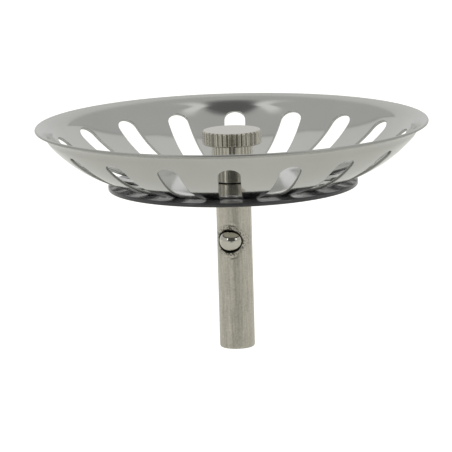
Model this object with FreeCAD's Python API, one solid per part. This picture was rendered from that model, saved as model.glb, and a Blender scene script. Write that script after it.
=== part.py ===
"""Basket strainer for a kitchen sink waste, in millimetres.

A pressed, slotted bowl sits on a cupped rubber seal. A thumb nut pulls the bowl and the seal down on the
threaded stud of a stem. A sprung ball in the side of the stem catches in the waste below and holds the
strainer up or down.

+Z is up. The origin is on the axis, in the plane where the lip of the seal meets the waste. One slot of the
bowl faces -Y and another faces +Y, but for a small turn.
"""

import FreeCAD, Part
import math
import os

# Bowl, pressed from sheet. Radii are those of its under face
RIM_DIAMETER = 84.0
SHEET = 0.6
FLANGE_WIDTH = 0.6
FLANGE_ANGLE = 21.0
BEND_RADIUS = 4.0
SHOULDER_ANGLE = 60.0
SHOULDER_RADIUS = 5.0
WALL_ANGLE = 48.0
WALL_RADIUS = 29.5

# Slots, measured along the curve of the wall. The front one faces SLOT_TURN degrees from -Y, towards -X
SLOT_COUNT = 18
SLOT_WIDTH = 4.6
SLOT_TO_SHOULDER = 0.7
SLOT_TO_FLOOR = 3.0
SLOT_TURN = 1.2

# Rubber seal, whose middle is clamped and whose lip is cupped up against the bowl
SEAL_THICKNESS = 0.9
SEAL_CUP = 0.4
SEAL_LIP_WIDTH = 4.7
SEAL_LIP_ROUND = 0.3
SEAL_CLEARANCE = 0.05

# Washer between the seal and the shoulder of the stem
WASHER_DIAMETER = 33.0
WASHER_THICKNESS = 1.0

# Stem and its threaded stud
STEM_DIAMETER = 7.5
STEM_LENGTH = 33.6
STEM_END_ROUND = 0.5
THREAD_DIAMETER = 5.0
THREAD_PITCH = 0.8
THREAD_DEPTH = 0.45
THREAD_FLAT = 0.1
STUD_POINT = 0.5
PLATE_CLEARANCE = 0.15

# Ball catch. The ball faces BALL_TURN degrees from -Y, towards -X
BALL_DIAMETER = 5.0
BALL_DROP = 10.1
BALL_PROUD = 1.1
BALL_TURN = 18.5
BALL_CLEARANCE = 0.05
STAKE_REACH = 0.3
STAKE_CLEARANCE = 0.03
BACK_WALL = 1.15
SPRING_WIRE = 0.35
SPRING_DIAMETER = 3.9
SPRING_TURNS = 3
SPRING_CLEARANCE = 0.02

# Knob, a thumb nut with a knurled head
KNOB_DIAMETER = 12.7
KNOB_HEAD_HEIGHT = 3.0
KNOB_CHAMFER = 0.3
KNOB_CROWN = 3.2
NECK_DIAMETER = 9.0
NECK_HEIGHT = 7.8
KNURL_COUNT = 36
KNURL_DEPTH = 0.35
KNURL_HALF_ANGLE = 45.0
THREAD_CLEARANCE = 0.12
STUD_END_GAP = 0.5

# Gasket in the foot of the knob
GASKET_DIAMETER = 7.6
GASKET_THICKNESS = 0.8
GASKET_PROUD = 0.15
GASKET_CLEARANCE = 0.1

# Heights and radii that follow from the sizes above
AXIS = FreeCAD.Vector(0, 0, 1)
FLANGE_SLOPE = math.radians(FLANGE_ANGLE)
SHOULDER_SLOPE = math.radians(SHOULDER_ANGLE)
WALL_SLOPE = math.radians(WALL_ANGLE)
RIM_RADIUS = RIM_DIAMETER / 2
BEND_REACH = BEND_RADIUS * (math.sin(SHOULDER_SLOPE) - math.sin(FLANGE_SLOPE))
SHOULDER_REACH = SHOULDER_RADIUS * (math.sin(SHOULDER_SLOPE) - math.sin(WALL_SLOPE))
WALL_REACH = WALL_RADIUS * math.sin(WALL_SLOPE)
FLOOR_RADIUS = RIM_RADIUS - FLANGE_WIDTH - BEND_REACH - SHOULDER_REACH - WALL_REACH
FLOOR_Z = SEAL_THICKNESS - SEAL_CUP
FLOOR_TOP_Z = FLOOR_Z + SHEET
WALL_CENTRE_Z = FLOOR_Z + WALL_RADIUS
WASHER_TOP_Z = FLOOR_Z - SEAL_THICKNESS
SHOULDER_Z = WASHER_TOP_Z - WASHER_THICKNESS
FOOT_Z = FLOOR_TOP_Z + GASKET_PROUD
HEAD_Z = FOOT_Z + NECK_HEIGHT
KNOB_TOP_Z = HEAD_Z + KNOB_HEAD_HEIGHT
BORE_END_Z = KNOB_TOP_Z - KNOB_CROWN
STUD_TOP_Z = BORE_END_Z - STUD_END_GAP
STEM_RADIUS = STEM_DIAMETER / 2
THREAD_RADIUS = THREAD_DIAMETER / 2
THREAD_ROOT_RADIUS = THREAD_RADIUS - THREAD_DEPTH
PLATE_HOLE_RADIUS = THREAD_RADIUS + PLATE_CLEARANCE
BALL_RADIUS = BALL_DIAMETER / 2
BALL_Z = SHOULDER_Z - BALL_DROP
BALL_REACH = STEM_RADIUS + BALL_PROUD - BALL_RADIUS
BALL_HOLE_RADIUS = BALL_RADIUS + BALL_CLEARANCE
CATCH_TURN = -90.0 - BALL_TURN


def section_point(radius, height):
    """A point of a section through the axis, in the XZ plane."""
    return FreeCAD.Vector(radius, 0, height)


def slope_point(centre, radius, slope):
    """The lowest point of a circle in the section, moved round by a slope in radians."""
    return centre + section_point(radius * math.sin(slope), -radius * math.cos(slope))


def slope_arc(centre, radius, start, end):
    """An arc of such a circle, between two slopes in radians."""
    middle = slope_point(centre, radius, (start + end) / 2)
    ends = slope_point(centre, radius, start), slope_point(centre, radius, end)
    return Part.Arc(ends[0], middle, ends[1]).toShape()


def revolve(edges):
    """The solid that a closed section sweeps in one turn about the axis."""
    wire = Part.Wire(edges)
    return Part.Face(wire).revolve(FreeCAD.Vector(0, 0, 0), AXIS, 360)


def revolve_points(points):
    """The solid of revolution of a section with straight sides, given as (radius, height) pairs."""
    corners = [section_point(radius, height) for radius, height in points]
    return revolve(Part.makePolygon(corners + corners[:1]).Edges)


def ring(inner_radius, outer_radius, bottom, top):
    """A flat ring about the axis."""
    return revolve_points([
        (inner_radius, bottom),
        (outer_radius, bottom),
        (outer_radius, top),
        (inner_radius, top),
    ])


def bowl_slots():
    """Round-ended cutters, square to the wall, spaced evenly round the axis."""
    low = SLOT_TO_FLOOR / WALL_RADIUS
    high = WALL_SLOPE - SLOT_TO_SHOULDER / WALL_RADIUS
    middle = (low + high) / 2
    half_turn = (high - low) / 2
    straight = WALL_RADIUS * math.sin(half_turn) - SLOT_WIDTH / 2
    sagitta = WALL_RADIUS * (1 - math.cos(half_turn))
    depth = sagitta + 2 * SHEET
    along = section_point(math.cos(middle), math.sin(middle))
    through = section_point(-math.sin(middle), math.cos(middle))
    across = FreeCAD.Vector(0, SLOT_WIDTH / 2, 0)
    centre = slope_point(section_point(FLOOR_RADIUS, WALL_CENTRE_Z), WALL_RADIUS, middle) - through * depth
    top = centre + along * straight
    bottom = centre - along * straight
    outline = Part.Wire([
        Part.makeLine(bottom + across, top + across),
        Part.Arc(top + across, top + along * (SLOT_WIDTH / 2), top - across).toShape(),
        Part.makeLine(top - across, bottom - across),
        Part.Arc(bottom - across, bottom - along * (SLOT_WIDTH / 2), bottom + across).toShape(),
    ])
    cutter = Part.Face(outline).extrude(through * (2 * depth + sagitta))
    cutters = []
    for index in range(SLOT_COUNT):
        copy = cutter.copy()
        copy.rotate(FreeCAD.Vector(0, 0, 0), AXIS, -90 - SLOT_TURN + index * 360 / SLOT_COUNT)
        cutters.append(copy)
    return cutters


def strainer_bowl():
    """Level floor, curved wall with slots, a steeper shoulder and a rim curled out to a shallow cone."""
    wall_centre = section_point(FLOOR_RADIUS, WALL_CENTRE_Z)
    wall_end = slope_point(wall_centre, WALL_RADIUS, WALL_SLOPE)
    shoulder_centre = slope_point(wall_end, -SHOULDER_RADIUS, WALL_SLOPE)
    shoulder_end = slope_point(shoulder_centre, SHOULDER_RADIUS, SHOULDER_SLOPE)
    bend_centre = slope_point(shoulder_end, BEND_RADIUS, SHOULDER_SLOPE)
    flange_start = slope_point(bend_centre, -BEND_RADIUS, FLANGE_SLOPE)
    flange_rise = FLANGE_WIDTH * math.tan(FLANGE_SLOPE)
    rim = flange_start + section_point(FLANGE_WIDTH, flange_rise)
    lift = section_point(-SHEET * math.sin(FLANGE_SLOPE), SHEET * math.cos(FLANGE_SLOPE))
    hole_under = section_point(PLATE_HOLE_RADIUS, FLOOR_Z)
    hole_top = section_point(PLATE_HOLE_RADIUS, FLOOR_TOP_Z)
    dish = revolve([
        Part.makeLine(hole_under, section_point(FLOOR_RADIUS, FLOOR_Z)),
        slope_arc(wall_centre, WALL_RADIUS, 0, WALL_SLOPE),
        slope_arc(shoulder_centre, SHOULDER_RADIUS, WALL_SLOPE, SHOULDER_SLOPE),
        slope_arc(bend_centre, -BEND_RADIUS, SHOULDER_SLOPE, FLANGE_SLOPE),
        Part.makeLine(flange_start, rim),
        Part.makeLine(rim, rim + lift),
        Part.makeLine(rim + lift, flange_start + lift),
        slope_arc(bend_centre, -BEND_RADIUS - SHEET, FLANGE_SLOPE, SHOULDER_SLOPE),
        slope_arc(shoulder_centre, SHOULDER_RADIUS - SHEET, SHOULDER_SLOPE, WALL_SLOPE),
        slope_arc(wall_centre, WALL_RADIUS - SHEET, WALL_SLOPE, 0),
        Part.makeLine(section_point(FLOOR_RADIUS, FLOOR_TOP_Z), hole_top),
        Part.makeLine(hole_top, hole_under),
    ])
    return dish.cut(bowl_slots())


def rubber_seal():
    """A disc with a clamped middle, a cupped zone parallel to the wall of the bowl and a level, rounded lip."""
    centre = section_point(FLOOR_RADIUS, WALL_CENTRE_Z)
    top_radius = WALL_RADIUS + SEAL_CLEARANCE
    under_radius = top_radius + SEAL_THICKNESS
    top_start = math.acos(WALL_RADIUS / top_radius)
    top_end = math.acos((WALL_RADIUS - SEAL_CUP) / top_radius)
    under_start = math.acos((WALL_RADIUS + SEAL_THICKNESS) / under_radius)
    under_end = math.acos((WALL_RADIUS + SEAL_THICKNESS - SEAL_CUP) / under_radius)
    lip_start = slope_point(centre, top_radius, top_end)
    lip = lip_start + section_point(SEAL_LIP_WIDTH, 0)
    lip_under = lip - section_point(0, SEAL_THICKNESS)
    round_centre = lip - section_point(SEAL_LIP_ROUND, SEAL_LIP_ROUND)
    hole_top = section_point(PLATE_HOLE_RADIUS, FLOOR_Z)
    hole_under = section_point(PLATE_HOLE_RADIUS, WASHER_TOP_Z)
    return revolve([
        Part.makeLine(hole_top, slope_point(centre, top_radius, top_start)),
        slope_arc(centre, top_radius, top_start, top_end),
        Part.makeLine(lip_start, slope_point(round_centre, SEAL_LIP_ROUND, math.pi)),
        slope_arc(round_centre, SEAL_LIP_ROUND, math.pi, math.pi / 2),
        Part.makeLine(slope_point(round_centre, SEAL_LIP_ROUND, math.pi / 2), lip_under),
        Part.makeLine(lip_under, slope_point(centre, under_radius, under_end)),
        slope_arc(centre, under_radius, under_end, under_start),
        Part.makeLine(slope_point(centre, under_radius, under_start), hole_under),
        Part.makeLine(hole_under, hole_top),
    ])


def backing_washer():
    """A flat ring between the seal and the stem."""
    return ring(PLATE_HOLE_RADIUS, WASHER_DIAMETER / 2, SHOULDER_Z, WASHER_TOP_Z)


def thread_arc(radius, start, end):
    """An arc about the axis at the shoulder of the stem, between two angles in radians."""
    angles = start, (start + end) / 2, end
    points = [FreeCAD.Vector(radius * math.cos(at), radius * math.sin(at), SHOULDER_Z) for at in angles]
    return Part.Arc(*points).toShape()


def thread_flank(start_radius, end_radius, start, end, steps=8):
    """A spiral at the shoulder of the stem, between two radii and two angles in radians."""
    points = []
    for step in range(steps + 1):
        share = step / steps
        radius = start_radius + (end_radius - start_radius) * share
        angle = start + (end - start) * share
        points.append(FreeCAD.Vector(radius * math.cos(angle), radius * math.sin(angle), SHOULDER_Z))
    curve = Part.BSplineCurve()
    curve.interpolate(points)
    return curve.toShape()


def threaded_rod(clearance, top):
    """A right-hand thread from the shoulder of the stem up to a height, larger all round by a clearance.

    A level section through a thread has the same outline at any height, turned once per pitch. So the rod is
    that outline carried up the axis while it follows a helix.
    """
    crest = THREAD_RADIUS + clearance
    root = THREAD_ROOT_RADIUS + clearance
    flat = 2 * math.pi * THREAD_FLAT / THREAD_PITCH
    outline = Part.Wire([
        thread_arc(root, 0, flat),
        thread_flank(root, crest, flat, math.pi),
        thread_arc(crest, math.pi, math.pi + flat),
        thread_flank(crest, root, math.pi + flat, 2 * math.pi),
    ])
    base = section_point(0, SHOULDER_Z)
    helix = Part.makeHelix(THREAD_PITCH, top - SHOULDER_Z, crest)
    helix.translate(base)
    sweep = Part.BRepOffsetAPI.MakePipeShell(Part.Wire(Part.makeLine(base, section_point(0, top))))
    sweep.setAuxiliarySpine(Part.Wire(helix), True, 0)
    sweep.add(outline)
    sweep.build()
    sweep.makeSolid()
    return sweep.shape()


def turned_to_catch(shape):
    """A shape made about the X axis, turned and lowered to where the ball is."""
    shape.rotate(FreeCAD.Vector(0, 0, 0), AXIS, CATCH_TURN)
    shape.translate(FreeCAD.Vector(0, 0, BALL_Z))
    return shape


def catch_hole():
    """Blind cross hole for the ball, narrowed at its mouth where the edge is staked over the ball."""
    outward = FreeCAD.Vector(1, 0, 0)
    mouth_radius = BALL_HOLE_RADIUS - STAKE_REACH
    stake = BALL_REACH + math.sqrt(BALL_RADIUS ** 2 - mouth_radius ** 2) + STAKE_CLEARANCE
    back = BACK_WALL - STEM_RADIUS
    hole = Part.makeCylinder(BALL_HOLE_RADIUS, stake - back, FreeCAD.Vector(back, 0, 0), outward)
    mouth = Part.makeCylinder(mouth_radius, STEM_RADIUS, FreeCAD.Vector(stake, 0, 0), outward)
    return turned_to_catch(hole.fuse(mouth))


def stem():
    """A plain bar with a rounded lower end, a threaded stud on top and the hole for the catch."""
    end_z = SHOULDER_Z - STEM_LENGTH
    round_centre = section_point(STEM_RADIUS - STEM_END_ROUND, end_z + STEM_END_ROUND)
    shoulder = section_point(STEM_RADIUS, SHOULDER_Z)
    bar = revolve([
        Part.makeLine(section_point(0, SHOULDER_Z), section_point(0, end_z)),
        Part.makeLine(section_point(0, end_z), slope_point(round_centre, STEM_END_ROUND, 0)),
        slope_arc(round_centre, STEM_END_ROUND, 0, math.pi / 2),
        Part.makeLine(slope_point(round_centre, STEM_END_ROUND, math.pi / 2), shoulder),
        Part.makeLine(shoulder, section_point(0, SHOULDER_Z)),
    ])
    point = Part.makeCylinder(THREAD_ROOT_RADIUS, STUD_POINT, section_point(0, STUD_TOP_Z - STUD_POINT))
    return bar.cut(catch_hole()).fuse([threaded_rod(0, STUD_TOP_Z - STUD_POINT), point])


def detent_ball():
    """The ball, held against the staked edge of its hole."""
    return turned_to_catch(Part.makeSphere(BALL_RADIUS, FreeCAD.Vector(BALL_REACH, 0, 0)))


def corner_arc(start, corner, end):
    """The arc that leaves start towards corner and reaches end from corner, as far away."""
    middle = (start + end) / 2
    half_angle = math.acos((end - start).Length / 2 / (corner - start).Length)
    share = math.tan(half_angle / 2) / math.tan(half_angle)
    return Part.Arc(start, middle + (corner - middle) * share, end).toShape()


def biarc(start, start_way, end, end_way):
    """Two arcs that leave start and reach end along the given unit directions."""
    chord = end - start
    both = start_way + end_way
    spread = 2 * (1 - start_way.dot(end_way))
    along = chord.dot(both)
    reach = (math.sqrt(along ** 2 + spread * chord.dot(chord)) - along) / spread
    first = start + start_way * reach
    second = end - end_way * reach
    joint = (first + second) / 2
    return [corner_arc(start, first, joint), corner_arc(joint, second, end)]


def detent_spring():
    """A coil of round wire between the back of the ball and the end of its hole."""
    coil_radius = (SPRING_DIAMETER - SPRING_WIRE) / 2
    ball_touch = math.sqrt((BALL_RADIUS + SPRING_WIRE / 2) ** 2 - coil_radius ** 2)
    front = BALL_REACH - ball_touch - SPRING_CLEARANCE
    back = BACK_WALL - STEM_RADIUS + SPRING_WIRE / 2 + SPRING_CLEARANCE
    pitch = (front - back) / SPRING_TURNS
    rise = pitch / (2 * math.pi)
    slant = math.hypot(coil_radius, rise)

    def place(turn):
        across, up = coil_radius * math.cos(turn), coil_radius * math.sin(turn)
        return FreeCAD.Vector(back + rise * turn, across, up)

    def way(turn):
        return FreeCAD.Vector(rise, -coil_radius * math.sin(turn), coil_radius * math.cos(turn)) / slant

    quarter = math.pi / 2
    edges = []
    for index in range(4 * SPRING_TURNS):
        start, end = index * quarter, (index + 1) * quarter
        edges += biarc(place(start), way(start), place(end), way(end))
    path = Part.Wire(edges)
    section = Part.Wire(Part.makeCircle(SPRING_WIRE / 2, place(0), way(0)))
    print("spring: least gap between turns", round(least_turn_gap(path, slant), 3))
    return turned_to_catch(path.makePipeShell([section], True, False))


def least_turn_gap(path, slant):
    """The least gap between the wire and itself, over points more than half a turn apart."""
    points = path.discretize(Number=60 * SPRING_TURNS)
    half_turn = math.ceil(math.pi * slant / (path.Length / (len(points) - 1)))
    gaps = []
    for index, point in enumerate(points):
        gaps += [point.distanceToPoint(other) for other in points[index + half_turn:]]
    return min(gaps) - SPRING_WIRE


def knurl_grooves():
    """V-shaped cutters along the head of the knob."""
    overshoot = KNURL_DEPTH
    half_mouth = (KNURL_DEPTH + overshoot) * math.tan(math.radians(KNURL_HALF_ANGLE))
    edge = KNOB_DIAMETER / 2 + overshoot
    corners = [
        FreeCAD.Vector(KNOB_DIAMETER / 2 - KNURL_DEPTH, 0, HEAD_Z - overshoot),
        FreeCAD.Vector(edge, half_mouth, HEAD_Z - overshoot),
        FreeCAD.Vector(edge, -half_mouth, HEAD_Z - overshoot),
    ]
    face = Part.Face(Part.makePolygon(corners + corners[:1]))
    cutter = face.extrude(AXIS * (KNOB_HEAD_HEIGHT + 2 * overshoot))
    cutters = []
    for index in range(KNURL_COUNT):
        copy = cutter.copy()
        copy.rotate(FreeCAD.Vector(0, 0, 0), AXIS, index * 360 / KNURL_COUNT)
        cutters.append(copy)
    return cutters


def knob():
    """A knurled head on a smooth neck, with a blind threaded hole and a recess for the gasket."""
    head_radius = KNOB_DIAMETER / 2
    recess_radius = GASKET_DIAMETER / 2 + GASKET_CLEARANCE
    recess_z = FLOOR_TOP_Z + GASKET_THICKNESS
    body = revolve_points([
        (0, recess_z),
        (recess_radius, recess_z),
        (recess_radius, FOOT_Z),
        (NECK_DIAMETER / 2, FOOT_Z),
        (NECK_DIAMETER / 2, HEAD_Z),
        (head_radius - KNOB_CHAMFER, HEAD_Z),
        (head_radius, HEAD_Z + KNOB_CHAMFER),
        (head_radius, KNOB_TOP_Z - KNOB_CHAMFER),
        (head_radius - KNOB_CHAMFER, KNOB_TOP_Z),
        (0, KNOB_TOP_Z),
    ])
    return body.cut(knurl_grooves() + [threaded_rod(THREAD_CLEARANCE, BORE_END_Z)])


def knob_gasket():
    """A soft ring in the foot of the knob, on the floor of the bowl."""
    return ring(PLATE_HOLE_RADIUS, GASKET_DIAMETER / 2, FLOOR_TOP_Z, FLOOR_TOP_Z + GASKET_THICKNESS)


PIECES = {
    "knob": knob,
    "knob_gasket": knob_gasket,
    "strainer_bowl": strainer_bowl,
    "rubber_seal": rubber_seal,
    "backing_washer": backing_washer,
    "stem": stem,
    "detent_ball": detent_ball,
    "detent_spring": detent_spring,
}

os.makedirs("parts", exist_ok=True)
for name, make in PIECES.items():
    shape = make()
    print(name, "solids", len(shape.Solids), "valid", shape.isValid(), "volume", round(shape.Volume, 2))
    shape.exportStep("parts/" + name + ".step")
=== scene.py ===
import math

import bmesh
import bpy
import numpy as np
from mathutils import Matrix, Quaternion, Vector


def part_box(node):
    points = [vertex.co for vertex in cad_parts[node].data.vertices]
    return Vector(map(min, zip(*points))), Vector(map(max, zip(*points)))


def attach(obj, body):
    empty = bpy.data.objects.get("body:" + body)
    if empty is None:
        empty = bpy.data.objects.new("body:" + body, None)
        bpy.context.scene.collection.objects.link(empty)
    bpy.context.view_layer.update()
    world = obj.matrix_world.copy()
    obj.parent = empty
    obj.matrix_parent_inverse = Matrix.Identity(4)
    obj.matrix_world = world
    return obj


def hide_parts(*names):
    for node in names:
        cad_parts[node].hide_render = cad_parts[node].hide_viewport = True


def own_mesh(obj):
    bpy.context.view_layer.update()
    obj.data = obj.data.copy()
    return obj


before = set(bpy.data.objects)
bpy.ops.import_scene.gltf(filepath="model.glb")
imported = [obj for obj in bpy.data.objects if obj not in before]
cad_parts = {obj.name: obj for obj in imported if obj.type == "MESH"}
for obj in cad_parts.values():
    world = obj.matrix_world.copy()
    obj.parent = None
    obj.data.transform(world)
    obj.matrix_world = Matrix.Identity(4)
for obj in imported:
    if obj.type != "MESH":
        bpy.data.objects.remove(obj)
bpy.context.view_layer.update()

bl_info = {
    "name": "Sink strainer",
    "version": (1, 0, 0),
    "blender": (4, 5, 0),
    "location": "View3D > Sidebar > Strainer",
    "description": "Builds a slotted sink strainer with a thumb nut and a sprung ball catch",
    "category": "Object",
}

MM = 0.001
TURN = 2 * math.pi

# Places that the solids give
BOWL_LOW, BOWL_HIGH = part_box("strainer_bowl")
SEAL_LOW, SEAL_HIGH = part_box("rubber_seal")
WASHER_LOW, WASHER_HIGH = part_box("backing_washer")
STEM_LOW, STEM_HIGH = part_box("stem")
BALL_LOW, BALL_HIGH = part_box("detent_ball")
KNOB_LOW, KNOB_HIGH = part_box("knob")
GASKET_LOW, GASKET_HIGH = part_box("knob_gasket")
BALL_CENTRE = (BALL_LOW + BALL_HIGH) / 2
CATCH_TURN = math.atan2(BALL_CENTRE.y, BALL_CENTRE.x)
CATCH_OUT = np.array([math.cos(CATCH_TURN), math.sin(CATCH_TURN), 0.0])
CATCH_ACROSS = np.array([-math.sin(CATCH_TURN), math.cos(CATCH_TURN), 0.0])
UP = np.array([0.0, 0.0, 1.0])

# Range that holds nearly all values of a cloudy pattern
PATTERN_RANGE = (0.3, 0.7)


def length(name, description, millimetres):
    """A length property, given in millimetres and kept in metres."""
    return bpy.props.FloatProperty(
        name=name, description=description, default=millimetres * MM, unit="LENGTH", precision=5)


def angle(name, description, degrees):
    """An angle property, given in degrees and kept in radians."""
    return bpy.props.FloatProperty(
        name=name, description=description, default=math.radians(degrees), subtype="ANGLE")


def count(name, description, number):
    """A property that counts like things."""
    return bpy.props.IntProperty(name=name, description=description, default=number, min=1)


def share(name, description, number):
    """A property for a plain number."""
    return bpy.props.FloatProperty(name=name, description=description, default=number)


def colour(name, description, red, green, blue):
    """A colour property."""
    return bpy.props.FloatVectorProperty(
        name=name, description=description, default=(red, green, blue),
        size=3, subtype="COLOR", min=0, max=1)


class BowlSizes(bpy.types.PropertyGroup):
    """Sizes of the pressed bowl"""

    rim_radius: length("Rim radius", "Outer radius of the rim", BOWL_HIGH.x / MM)
    hole_radius: length("Hole radius", "Radius of the hole for the stud", 2.65)
    sheet: length("Sheet", "Thickness of the sheet", 0.6)
    flange_width: length("Flange width", "Width of the flange, seen from above", 0.6)
    flange_angle: angle("Flange angle", "Slope of the flange", 21)
    bend_radius: length("Bend radius", "Radius of the bend between shoulder and flange", 4)
    shoulder_angle: angle("Shoulder angle", "Slope of the shoulder at its top", 60)
    shoulder_radius: length("Shoulder radius", "Radius of the curve between wall and shoulder", 5)
    wall_angle: angle("Wall angle", "Slope of the wall at its top", 48)
    wall_radius: length("Wall radius", "Radius of the wall's curve", 29.5)
    slot_count: count("Slots", "Number of slots", 18)
    slot_width: length("Slot width", "Width of a slot", 4.6)
    slot_to_shoulder: length("Slot to shoulder", "Distance along the wall from a slot to the shoulder", 0.7)
    slot_to_floor: length("Slot to floor", "Distance along the wall from the floor to a slot", 3)
    slot_turn: angle("Slot turn", "Turn of the front slot from the front towards the left", 1.2)
    slot_edge: length("Slot edge", "Rounding of the edges of the slots", 0.12)
    rim_edge: length("Rim edge", "Rounding of the edge of the rim", 0.26)


class SealSizes(bpy.types.PropertyGroup):
    """Sizes of the rubber seal, the washer under it and the gasket in the knob"""

    thickness: length("Thickness", "Thickness of the rubber", 0.9)
    cup: length("Cup", "Rise of the lip over the clamped middle", 0.4)
    clearance: length("Clearance", "Gap between the cupped rubber and the bowl", 0.05)
    edge: length("Edge", "Rounding of the moulded edges", 0.14)
    lip_edge: length("Lip edge", "Rounding of the upper edge of the lip", 0.3)
    washer_edge: length("Washer edge", "Rounding of the edges of the washer", 0.12)


class StemSizes(bpy.types.PropertyGroup):
    """Sizes of the stem, its stud and the ball catch"""

    radius: length("Radius", "Radius of the bar", 3.75)
    end_round: length("End rounding", "Rounding of the lower end", 0.5)
    thread_radius: length("Thread radius", "Outer radius of the thread", 2.5)
    thread_depth: length("Thread depth", "Depth of the thread", 0.45)
    thread_pitch: length("Thread pitch", "Rise of the thread in one turn", 0.8)
    thread_flat: length("Thread flat", "Width of the flat crest of the thread", 0.1)
    stud_point: length("Stud point", "Length of the plain end of the stud", 0.5)
    hole_radius: length("Hole radius", "Radius of the hole for the ball", 2.55)
    hole_back: length("Hole back", "Distance of the end of the hole behind the axis", 2.6)
    mouth_half_width: length("Mouth half width", "Half the width of the staked mouth, across the bar", 2.56)
    mouth_half_height: length("Mouth half height", "Half the height of the staked mouth", 2.45)
    lip: length("Lip", "Thickness of the staked lip", 0.25)
    punch_radius: length("Punch radius", "Radius of the ring that the staking punch pressed in", 3.6)
    punch_depth: length("Punch depth", "Depth of that ring", 0.1)
    burr: length("Burr", "Height of the metal that the staking raised", 0.11)
    spring_wire: length("Spring wire", "Thickness of the wire", 0.35)
    spring_radius: length("Spring radius", "Radius of the coil at the middle of the wire", 1.775)
    spring_turns: count("Spring turns", "Turns of the coil", 3)
    spring_gap: length("Spring gap", "Gap at either end of the coil", 0.02)


class KnobSizes(bpy.types.PropertyGroup):
    """Sizes of the thumb nut"""

    head_height: length("Head height", "Height of the knurled head", 3)
    chamfer: length("Chamfer", "Chamfer of the head", 0.3)
    neck_radius: length("Neck radius", "Radius of the neck", 4.5)
    knurl_count: count("Knurl", "Number of grooves in the head", 36)
    knurl_depth: length("Knurl depth", "Depth of the grooves", 0.35)
    crown: length("Crown", "Thickness of the solid top over the threaded hole", 3.2)
    thread_clearance: length("Thread clearance", "Gap between the threads", 0.12)
    recess_radius: length("Recess radius", "Radius of the recess for the gasket", 3.9)
    edge: length("Edge", "Rounding of the turned edges", 0.12)


class Finishes(bpy.types.PropertyGroup):
    """Colours of the finishes"""

    steel: colour("Steel", "Polished steel of the bowl", 0.57, 0.57, 0.545)
    sheared: colour("Sheared", "Sheared edges of the bowl", 0.43, 0.43, 0.41)
    nickel: colour("Nickel", "Nickel plate of the stem and the knob", 0.63, 0.605, 0.525)
    # Colour of the dirt specks and of the painted shade in the ring where the ball meets the staked lip
    grime_and_shade: colour("Grime", "Dirt round the ball", 0.06, 0.055, 0.043)
    ball: colour("Ball", "Hardened steel of the ball", 0.63, 0.615, 0.54)
    zinc: colour("Zinc", "Zinc plate of the washer", 0.58, 0.57, 0.52)
    spring: colour("Spring", "Drawn wire of the spring", 0.36, 0.35, 0.33)
    rubber: colour("Rubber", "Black rubber of the seal and the gasket", 0.062, 0.062, 0.066)
    floor: colour("Floor", "Floor of the studio", 0.9, 0.9, 0.84)


class StageSettings(bpy.types.PropertyGroup):
    """Camera, floor and light"""

    distance: length("Distance", "Distance of the camera from the middle of the rim", 900)
    elevation: angle("Elevation", "Height of the camera as an angle", 9.0)
    lens: share("Lens", "Focal length in millimetres, on a frame 36 mm wide", 336.8)
    rim_right: share("Rim right", "How far right of the frame's middle the rim is, in frame widths", 0.012)
    rim_up: share("Rim up", "How far above the frame's middle the rim is, in frame widths", 0.2296)
    roll: angle("Roll", "Turn of the picture, counter-clockwise", 1.6)
    floor_drop: length("Floor drop", "Depth of the floor under the seal", 185)
    back: share("Back", "Brightness of the lit panel behind the strainer", 0.76)
    tent: share("Tent", "Brightness overhead and at the sides", 0.57)
    room: share("Room", "Brightness low in front, where the camera stands", 0.09)
    shade: share("Shade", "Brightness of the dark shape over the camera", 0.15)
    glow: share("Glow", "Brightness of the lit cloth beside that shape", 0.96)
    lamp_width: length("Lamp width", "Width of the lamps beside the camera", 120)
    lamp_height: length("Lamp height", "Height of the lamps beside the camera", 460)
    lamp_power: share("Lamp power", "Power of each lamp in watts", 0.33)
    lamp_rise: angle("Lamp rise", "Height of the lamps as an angle", 22)
    lamp_left: angle("Left lamp", "Turn of the left lamp from the front", -39)
    lamp_right: angle("Right lamp", "Turn of the right lamp from the front", 52)


def settings(name):
    """The property group that register() hangs on the scene under that name."""
    return getattr(bpy.context.scene, "strainer_" + name)


# Surfaces as grids of points

def close_ring(number, closed):
    """Index pairs of neighbours in a row, with the last joined to the first where it is closed."""
    first = np.arange(number if closed else number - 1)
    return first, (first + 1) % number


def grid_faces(rows, columns, rows_closed, columns_closed):
    """Four-sided faces between neighbouring points of a grid."""
    row, next_row = close_ring(rows, rows_closed)
    column, next_column = close_ring(columns, columns_closed)
    corners = [
        row[:, None] * columns + column,
        row[:, None] * columns + next_column,
        next_row[:, None] * columns + next_column,
        next_row[:, None] * columns + column,
    ]
    return np.stack(corners, axis=-1).reshape(-1, 4)


def about_axis(radius, turn, height):
    """Points at a radius from the axis, a turn about it and a height."""
    radius, turn, height = np.broadcast_arrays(radius, turn, height)
    return np.stack([radius * np.cos(turn), radius * np.sin(turn), height], axis=-1)


def even_turns(columns):
    """Angles spaced evenly over one turn."""
    return np.arange(columns) * TURN / columns


def lathe(section, columns):
    """A section of (radius, height) rows carried once about the axis."""
    return about_axis(section[:, :1], even_turns(columns), section[:, 1:])


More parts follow.
